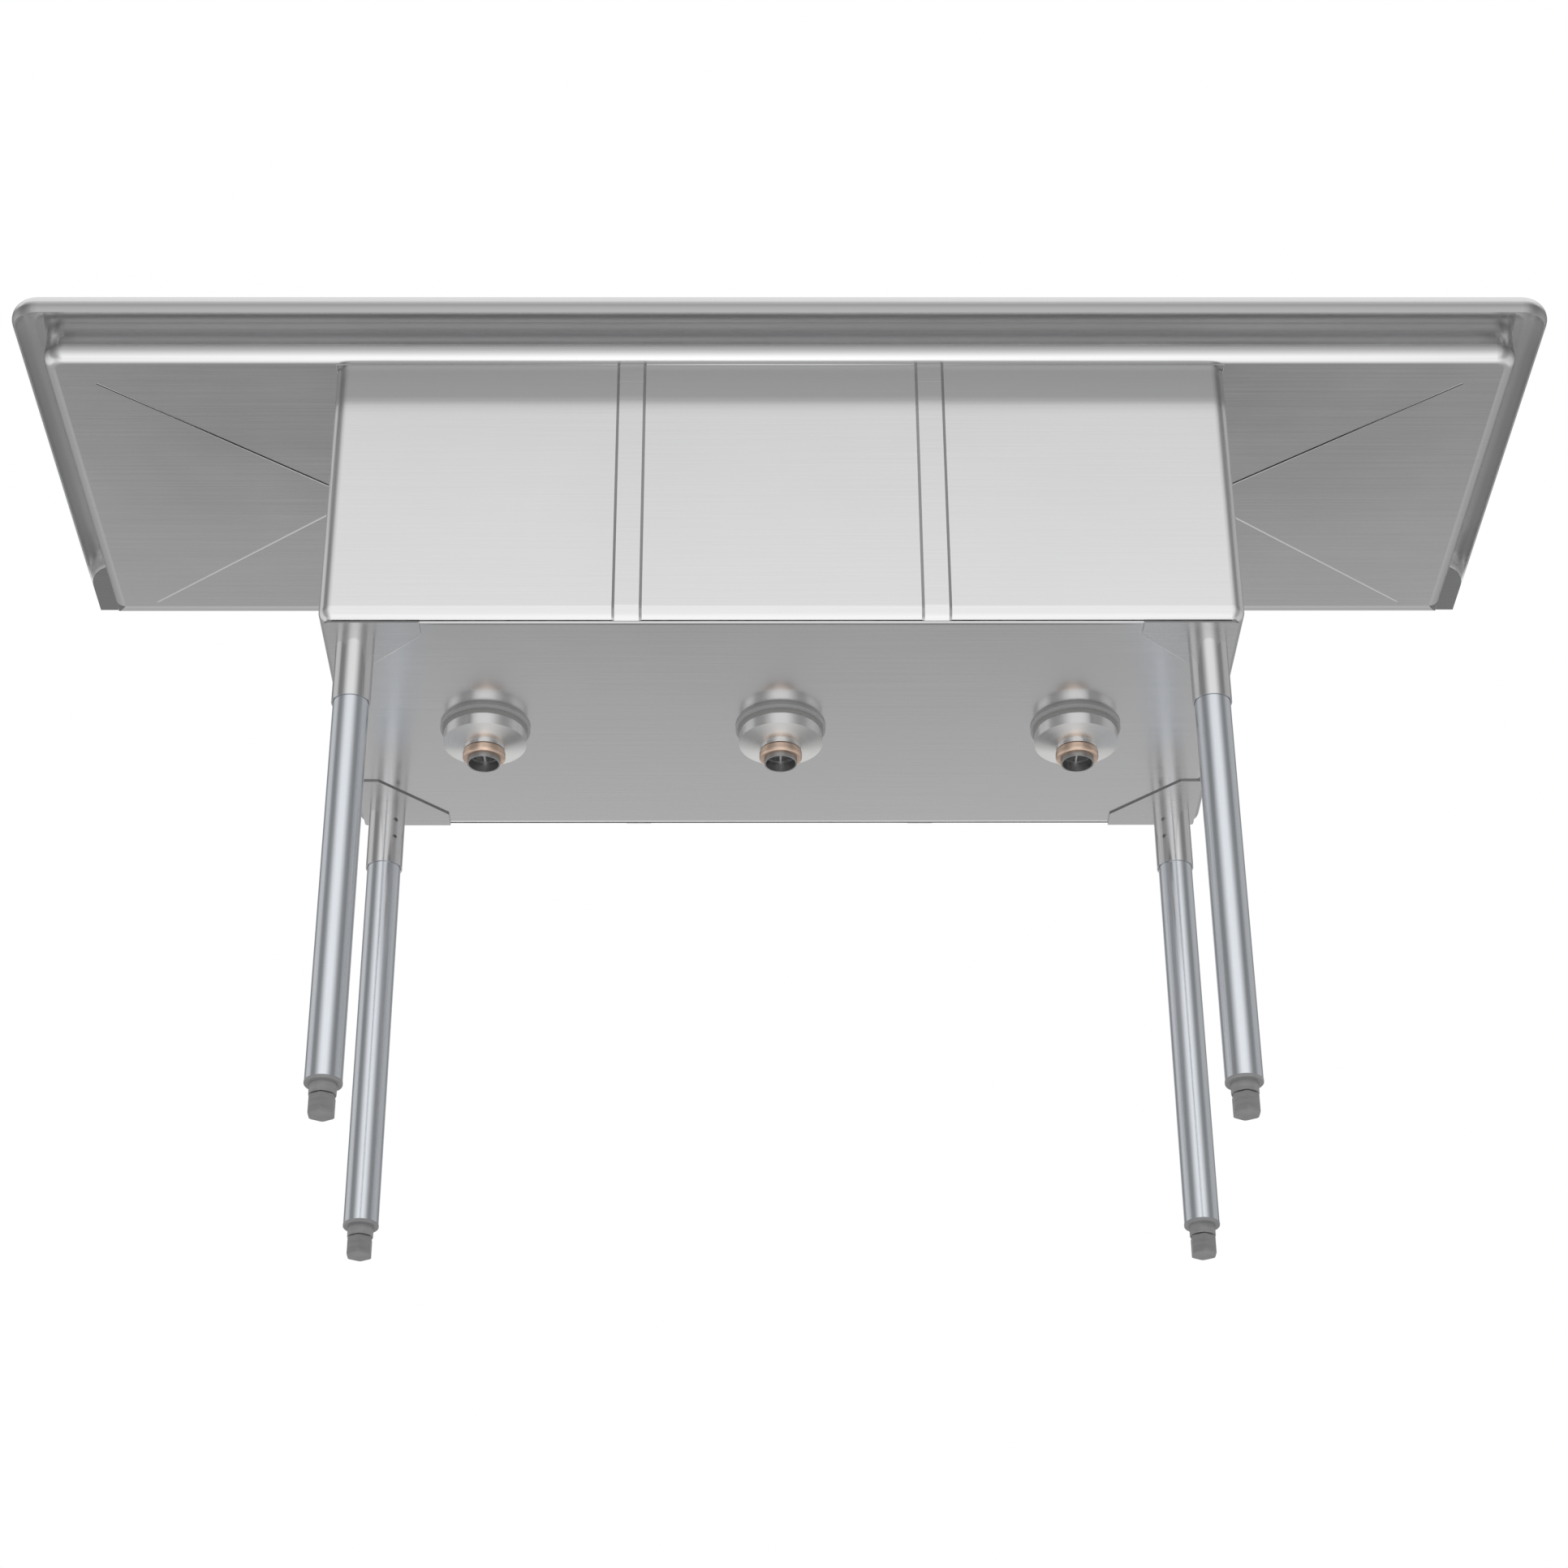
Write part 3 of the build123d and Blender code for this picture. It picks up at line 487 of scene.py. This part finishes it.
def turned_steel(name, tint, roughness=0.22):
    """Lathe-turned steel whose fine rings stretch highlights into sectors."""
    material, g = new_material(name)
    source = g.node("ShaderNodeTexCoord")
    split = g.node("ShaderNodeSeparateXYZ")
    g.link(source.outputs["Generated"], split.inputs[0])
    x = g.minus(split.outputs[0], 0.5)
    y = g.minus(split.outputs[1], 0.5)
    radius = g.math("SQRT", g.plus(g.times(x, x), g.times(y, y)))
    join = g.node("ShaderNodeCombineXYZ")
    g.link(radius, join.inputs[0])
    g.link(split.outputs[2], join.inputs[1])
    rings = g.noise(join.outputs[0], 130.0, detail=3.0, roughness=0.7)
    cloud = g.noise(g.place(), 60.0)
    tangent = g.node("ShaderNodeTangent", direction_type="RADIAL", axis="Z")
    colour = g.mix(g.remap(rings, 0.3, 0.7, 0.0, 1.0), shaded(tint, 0.93), shaded(tint, 1.0))
    rough = g.remap(rings, 0.2, 0.8, roughness - 0.04, roughness + 0.05)
    rough = g.plus(rough, g.remap(cloud, 0.3, 0.7, -0.02, 0.03))
    g.surface(
        Base_Color=colour,
        Metallic=1.0,
        Roughness=rough,
        Anisotropic=0.8,
        Anisotropic_Rotation=0.25,
        Tangent=tangent.outputs[0],
        Normal=g.bump(rings, 0.00002),
    )
    return material


def tube_steel(name, tint, roughness, spangle):
    """Drawn tube: faint lines along its length and, where galvanised, a soft mottle."""
    material, g = new_material(name)
    lines = g.noise(g.place((900, 900, 6)), 1.0, detail=3.0)
    flakes = g.node("ShaderNodeTexVoronoi")
    g.link(g.place(), flakes.inputs["Vector"])
    flakes.inputs["Scale"].default_value = 170.0
    mottle = g.times(flakes.outputs["Distance"], spangle)
    shade = g.minus(g.remap(lines, 0.3, 0.7, 0.97, 1.03), mottle)
    rough = g.plus(g.remap(lines, 0.2, 0.8, roughness - 0.03, roughness + 0.04), mottle)
    relief = g.bump(lines, 0.000003)
    g.surface(Base_Color=g.scaled(tint, shade), Metallic=1.0, Roughness=rough, Normal=relief)
    return material


def moulded_plastic(name, tint, roughness=0.5, grain=1400.0):
    """Moulded plastic with a fine spark-eroded texture and faint flow marks."""
    material, g = new_material(name)
    fine = g.noise(g.place(), grain, detail=2.0)
    flow = g.noise(g.place((1, 1, 5)), 40.0, detail=3.0)
    colour = g.mix(g.remap(flow, 0.3, 0.7, 0.0, 1.0), shaded(tint, 0.85), shaded(tint, 1.1))
    rough = g.remap(fine, 0.3, 0.7, roughness - 0.05, roughness + 0.05)
    rough = g.plus(rough, g.remap(flow, 0.3, 0.7, -0.03, 0.03))
    relief = g.bump(flow, 0.00008, normal=g.bump(fine, 0.00003))
    g.surface(Base_Color=colour, Roughness=rough, Normal=relief)
    return material


def soft_ring(name, tint, fleck, roughness):
    """Rubber or pressed fibre: matt, with flecks."""
    material, g = new_material(name)
    fibre = g.noise(g.place((1, 1, 6)), 420.0, detail=5.0, roughness=0.7)
    fine = g.noise(g.place(), 1600.0, detail=2.0)
    colour = g.ramp(fibre, ((0.35, tint), (0.62, fleck)))
    rough = g.remap(fine, 0.2, 0.8, roughness - 0.08, roughness + 0.08)
    g.surface(Base_Color=colour, Roughness=rough, Normal=g.bump(fibre, 0.00006))
    return material


def cast_metal(name, tint, dull, roughness=0.25):
    """Cast and tumbled metal with a duller tone in soft blotches."""
    material, g = new_material(name)
    blotch = g.noise(g.place(), 90.0, detail=4.0)
    fine = g.noise(g.place((1, 1, 4)), 700.0, detail=2.0)
    colour = g.ramp(blotch, ((0.32, dull), (0.62, tint)))
    rough = g.remap(blotch, 0.3, 0.7, roughness + 0.12, roughness)
    g.surface(Base_Color=colour, Metallic=1.0, Roughness=rough, Normal=g.bump(fine, 0.00003))
    return material


STEEL = (0.73, 0.73, 0.735)
ALONG_X = (3.0, 420.0, 900.0)  # grain of sheet brushed along x
ALONG_Y = (420.0, 3.0, 900.0)

MATERIALS = {
    "sheet": brushed_sheet("stainless_sheet", STEEL, ALONG_X),
    # The rim, bowl and bowl end sheets take painted light and shade in their colour, by height on
    # outward faces.
    "rim": brushed_sheet("stainless_rim_sheet", STEEL, ALONG_X, tone=RIM_PAINTED_LIGHT, rim=True),
    "bowls": brushed_sheet("stainless_bowl_sheet", STEEL, ALONG_X, tone=BOWL_PAINTED_SHADE),
    "bowl_end": brushed_sheet("stainless_end_sheet", STEEL, ALONG_Y, tone=BOWL_PAINTED_SHADE),
    "divider": brushed_sheet("stainless_divider_sheet", STEEL, ALONG_Y),
    # The closure's underside gets painted shade.
    "closure": brushed_sheet("closure_sheet", STEEL, ALONG_X, roughness=0.24, under=0.47),
    "gusset": brushed_sheet("gusset_sheet", (0.70, 0.70, 0.705), ALONG_X, roughness=0.24, edge=0.3),
    "socket": tube_steel("stainless_tube", (0.68, 0.68, 0.685), 0.15, 0.0),
    "leg": tube_steel("galvanised_tube", (0.69, 0.72, 0.76), 0.21, 0.012),
    "screw": cast_metal("screw_steel", (0.40, 0.40, 0.41), (0.26, 0.26, 0.27), 0.30),
    "foot": moulded_plastic("foot_nylon", (0.20, 0.20, 0.205)),
    "insert": moulded_plastic("insert_nylon", (0.235, 0.235, 0.24), 0.42),
    "turned": turned_steel("turned_steel", (0.74, 0.735, 0.73)),
    "basket": turned_steel("basket_steel", (0.72, 0.72, 0.72), 0.18),
    "brass": cast_metal("copper_alloy", (0.74, 0.56, 0.44), (0.58, 0.45, 0.37)),
    "tail": cast_metal("tailpiece_zinc", (0.42, 0.42, 0.42), (0.32, 0.32, 0.32), 0.38),
    "rubber": soft_ring("grey_rubber", (0.30, 0.30, 0.302), (0.36, 0.36, 0.362), 0.35),
    "fibre": soft_ring("pressed_fibre", (0.22, 0.218, 0.215), (0.28, 0.277, 0.272), 0.42),
    # Dark lines: painted shade in the front creases, and the dark line along the bowls' bottom bends.
    "dark_line": cast_metal("dark_line_finish", (0.12, 0.12, 0.123), (0.07, 0.07, 0.072), 0.5),
}

FINISHES = (
    ("foot_insert", "insert"),
    ("foot", "foot"),
    ("leg_socket", "socket"),
    ("leg", "leg"),
    ("gusset", "gusset"),
    ("set_screws", "screw"),
    ("drain_body", "turned"),
    ("cup_nut", "turned"),
    ("slip_nut", "brass"),
    ("tailpiece", "tail"),
    ("gaskets", "rubber"),
    ("washers", "fibre"),
    ("basket", "basket"),
    ("bowl_end", "bowl_end"),
    ("divider", "divider"),
    ("bowl_wrap", "bowls"),
    ("gap_strips", "bowls"),
    ("splash_closure", "closure"),
    ("drainboard", "rim"),
    ("front_rim", "rim"),
    ("rear_ledge", "rim"),
)


def finish_of(node_name):
    """The material for a CAD node, by how its name ends; plain sheet if no ending is listed."""
    for ending, key in FINISHES:
        if node_name.endswith(ending):
            return MATERIALS[key]
    return MATERIALS["sheet"]


def dress_cad_nodes():
    """Gives every CAD node its material, and smooth shading up to a set angle to those without custom
    normals.
    """
    for name, node in NODES.items():
        node.data.materials.clear()
        node.data.materials.append(finish_of(name))
        for face in node.data.polygons:
            face.material_index = 0
        if node.data.has_custom_normals:
            continue
        node.data.shade_smooth()
        node.data.set_sharp_from_angle(angle=radians(SMOOTH_ANGLE))


# ---------------------------------------------------------------- welds, edges and dark lines, with painted shade in the creases
def bead(name, points, radius, finish, closed=False):
    """A round bead along a line of points."""
    data = bpy.data.curves.new(name, "CURVE")
    data.dimensions = "3D"
    data.bevel_depth = radius
    data.bevel_resolution = BEAD_ROUNDNESS
    data.use_fill_caps = True
    spline = data.splines.new("POLY")
    spline.points.add(len(points) - 1)
    for knot, place in zip(spline.points, points):
        knot.co = (*place, 1)
    spline.use_cyclic_u = closed
    piece = bpy.data.objects.new(name, data)
    bpy.context.scene.collection.objects.link(piece)
    data.materials.append(MATERIALS[finish])
    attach(piece, ROOT)


def bend_lines():
    """A dark line along the front and rear bottom bends of the bowls."""
    angle = radians(BEND_LINE_ANGLE)
    inset = BEND_RADIUS * (1 - cos(angle))
    rise = BEND_RADIUS * (1 - sin(angle))
    z = BOWLS_LOW[2] + rise
    for name, y in (("front", BOWLS_LOW[1] + inset), ("rear", BOWLS_HIGH[1] - inset)):
        ends = (BOWLS_LOW[0], y, z), (BOWLS_HIGH[0], y, z)
        bead(f"{name}_bend_line", ends, BEND_LINE_RADIUS, "dark_line")


def crease_lines():
    """Dark lines of painted shade along the two front creases, from the drainboards' corners to the
    bowls.
    """
    for name, side in (("left", -1), ("right", 1)):
        ends = [(side * x, y, DECK_Z - CREASE_DEPTH) for x, y in (CREASE_END, CREASE_MEET)]
        bead(f"{name}_crease_line", ends, CREASE_LINE_RADIUS, "dark_line")


def gusset_edge(side):
    """The bright bevel along the free edge of a front gusset."""
    (outer, front, z), (inner, back, _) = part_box("front_left_gusset")
    clip_x, clip_y = outer + GUSSET_CLIP, front + GUSSET_CLIP
    outline = ((inner, front), (inner, clip_y), (clip_x, back), (outer, back))
    name = "left" if side > 0 else "right"
    bead(f"{name}_gusset_edge", [(side * x, y, z) for x, y in outline], GUSSET_EDGE_RADIUS, "sheet")


def deck_weld():
    """The ground weld that joins the bowls to the underside of the drainboards."""
    x, y0, y1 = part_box("right_bowl_end")[1][0], BOWLS_LOW[1], BOWLS_HIGH[1]
    outline = [(-x, y0, DECK_Z), (x, y0, DECK_Z), (x, y1, DECK_Z), (-x, y1, DECK_Z)]
    bead("deck_weld", outline, DECK_WELD_RADIUS, "sheet", closed=True)


# ---------------------------------------------------------------- threaded feet
def lathe(rings, segments):
    """Vertices and faces of a closed solid from rings of radius functions, capped at both ends."""
    vertices, faces = [], []
    for z, radius in rings:
        for step in range(segments):
            turn = tau * step / segments
            reach = radius(turn)
            vertices.append((reach * cos(turn), reach * sin(turn), z))
    for ring in range(len(rings) - 1):
        for step in range(segments):
            a, b = ring * segments + step, ring * segments + (step + 1) % segments
            faces.append((a, b, b + segments, a + segments))
    faces.append(tuple(reversed(range(segments))))
    faces.append(tuple(range((len(rings) - 1) * segments, len(rings) * segments)))
    return vertices, faces


def hex_rings(height, apothem, low_z):
    """Rings of a hexagon whose corners are turned off at both ends, as on a nut."""
    corner = apothem / cos(pi / 6)
    rings = []
    for rise, cut in HEX_CHAMFER:
        rings.append((low_z + rise, corner - cut))
    for rise, cut in reversed(HEX_CHAMFER):
        rings.append((low_z + height - rise, corner - cut))

    def ring(limit):
        return lambda turn: min(limit, apothem / cos((turn + pi / 6) % (pi / 3) - pi / 6))

    return [(z, ring(limit)) for z, limit in rings]


def thread_rings(low_z, high_z, crest):
    """Rings of a stem with a helical thread, its end tapered."""
    count = round((high_z - low_z) / THREAD_PITCH * THREAD_STEPS)

    def ring(z):
        taper = min(1.0, (high_z - z) / THREAD_PITCH)

        def radius(turn):
            phase = (z / THREAD_PITCH - turn / tau) % 1.0
            ridge = 1 - abs(2 * phase - 1)
            return crest - THREAD_DEPTH * (1 - min(1.0, THREAD_CREST * ridge) * taper)

        return radius

    heights = [low_z + (high_z - low_z) * step / count for step in range(count + 1)]
    return [(z, ring(z)) for z in heights]


def threaded_foot(corner):
    """A hexagon with turned corners and a threaded stem, in place of the plain foot."""
    node = f"{corner}_foot"
    low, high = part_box(node)
    apothem = min(high[0] - low[0], high[1] - low[1]) / 2
    vertices, faces = lathe(hex_rings(FOOT_HEX_HEIGHT, apothem, low[2]), HEX_SEGMENTS)
    stem_low_z = low[2] + FOOT_HEX_HEIGHT - THREAD_PITCH
    stem = lathe(thread_rings(stem_low_z, high[2], FOOT_STEM_RADIUS), STEM_SEGMENTS)
    faces += [tuple(index + len(vertices) for index in face) for face in stem[1]]
    vertices += stem[0]
    mesh = bpy.data.meshes.new(f"{node}_turned")
    mesh.from_pydata(vertices, [], faces)
    mesh.shade_smooth()
    mesh.set_sharp_from_angle(angle=radians(SMOOTH_ANGLE))
    mesh.materials.append(MATERIALS["foot"])
    piece = bpy.data.objects.new(f"{node}_turned", mesh)
    bpy.context.scene.collection.objects.link(piece)
    piece.location = ((low[0] + high[0]) / 2, (low[1] + high[1]) / 2, 0)
    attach(piece, f"{node}_body")
    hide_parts(node)


# ---------------------------------------------------------------- studio
def light_profile(g, elevation, stops):
    """Brightness against elevation, as a ramp from -90 to 90 degrees."""
    factor = g.remap(elevation, -90.0, 90.0, 0.0, 1.0)
    peak = max(value for _, value in stops)
    scaled = tuple(((angle + 90) / 180, value / peak) for angle, value in stops)
    return g.times(g.ramp(factor, scaled), peak)


def window(g, angle, full, none):
    """1 while an angle is below full, 0 above none, and smooth between."""
    made = g.node("ShaderNodeMapRange", interpolation_type="SMOOTHSTEP")
    for socket, item in zip(made.inputs, (angle, full, none, 1.0, 0.0)):
        g.feed(socket, item)
    return made.outputs[0]


def side_panel(g, azimuth, height, panel):
    """A soft upright panel of light to one side."""
    direction, half_width, brightness = panel
    offset = g.unsigned(g.minus(azimuth, direction))
    across = window(g, offset, half_width * PANEL_CORE, half_width)
    upright = window(g, g.unsigned(height), *PANEL_ENDS)
    return g.times(across, upright, brightness)


def studio_light(g):
    """Brightness of the studio in each direction, for reflections."""
    coordinates = g.node("ShaderNodeTexCoord")
    split = g.node("ShaderNodeSeparateXYZ")
    g.link(coordinates.outputs["Generated"], split.inputs[0])
    x, y, z = split.outputs
    height = g.math("DEGREES", g.math("ARCSINE", z))
    azimuth = g.math("DEGREES", g.math("ARCTAN2", x, g.times(y, -1.0)))
    turned = g.unsigned(azimuth)
    in_front = window(g, turned, *FRONT_WIDTH)
    behind = window(g, g.minus(180.0, turned), *BACK_WIDTH)
    light = light_profile(g, height, SIDE_LIGHT)
    light = g.mix(in_front, light, light_profile(g, height, FRONT_LIGHT))
    light = g.mix(behind, light, light_profile(g, height, BACK_LIGHT))
    for panel in (LEFT_PANEL, RIGHT_PANEL):
        light = g.plus(light, side_panel(g, azimuth, height, panel))
    return light


def make_world():
    """White to the camera, an even room to matt surfaces, and the studio to reflections."""
    world = bpy.data.worlds.new("studio")
    bpy.context.scene.world = world
    world.use_nodes = True
    world.cycles.sampling_method = "NONE"  # so that each kind of ray finds its own light
    g = Graph(world.node_tree)
    seen = g.node("ShaderNodeLightPath")
    studio = g.node("ShaderNodeBackground")
    g.link(studio_light(g), studio.inputs[0])
    room = g.node("ShaderNodeBackground")
    room.inputs[0].default_value = (ROOM_LIGHT, ROOM_LIGHT, ROOM_LIGHT, 1)
    backdrop = g.node("ShaderNodeBackground")
    backdrop.inputs[0].default_value = WHITE
    lit = g.node("ShaderNodeMixShader")
    g.link(seen.outputs["Is Diffuse Ray"], lit.inputs[0])
    g.link(studio.outputs[0], lit.inputs[1])
    g.link(room.outputs[0], lit.inputs[2])
    chosen = g.node("ShaderNodeMixShader")
    g.link(seen.outputs["Is Camera Ray"], chosen.inputs[0])
    g.link(lit.outputs[0], chosen.inputs[1])
    g.link(backdrop.outputs[0], chosen.inputs[2])
    output = g.node("ShaderNodeOutputWorld")
    g.link(chosen.outputs[0], output.inputs[0])


def make_floor():
    """A plain pale floor that is seen from above only and doesn't dim the light from below."""
    mesh = bpy.data.meshes.new("studio_floor")
    half = FLOOR_SIZE / 2
    corners = [(-half, -half, 0), (half, -half, 0), (half, half, 0), (-half, half, 0)]
    mesh.from_pydata(corners, [], [(0, 1, 2, 3)])
    floor = bpy.data.objects.new("studio_floor", mesh)
    bpy.context.scene.collection.objects.link(floor)
    floor.visible_glossy = False
    floor.visible_diffuse = False
    floor.visible_shadow = False
    floor.visible_transmission = False
    material, g = new_material("pale_floor")
    pale = g.node("ShaderNodeBsdfDiffuse")
    pale.inputs[0].default_value = FLOOR_TINT
    clear = g.node("ShaderNodeBsdfTransparent")
    side = g.node("ShaderNodeNewGeometry")
    chosen = g.node("ShaderNodeMixShader")
    g.link(side.outputs["Backfacing"], chosen.inputs[0])
    g.link(pale.outputs[0], chosen.inputs[1])
    g.link(clear.outputs[0], chosen.inputs[2])
    output = g.node("ShaderNodeOutputMaterial")
    g.link(chosen.outputs[0], output.inputs[0])
    mesh.materials.append(material)


def make_camera():
    """Low in front of the sink, looking up at its underside."""
    data = bpy.data.cameras.new("camera")
    data.lens = CAMERA_LENS
    data.sensor_width = CAMERA_SENSOR
    data.shift_x = CAMERA_SHIFT
    data.clip_start = 0.1
    data.clip_end = 60.0
    camera = bpy.data.objects.new("camera", data)
    bpy.context.scene.collection.objects.link(camera)
    turn = Quaternion((0, 0, 1), radians(-CAMERA_YAW))
    tip = Quaternion((1, 0, 0), radians(90 + CAMERA_PITCH))
    roll = Quaternion((0, 0, 1), radians(CAMERA_ROLL))
    camera.rotation_mode = "QUATERNION"
    camera.rotation_quaternion = turn @ tip @ roll
    camera.location = CAMERA_PLACE
    bpy.context.scene.camera = camera


dress_cad_nodes()
bend_lines()
crease_lines()
deck_weld()
for side in (-1, 1):
    gusset_edge(side)
for corner in CORNERS:
    threaded_foot(corner)
make_world()
make_floor()
make_camera()
bpy.context.scene.view_settings.view_transform = "Standard"
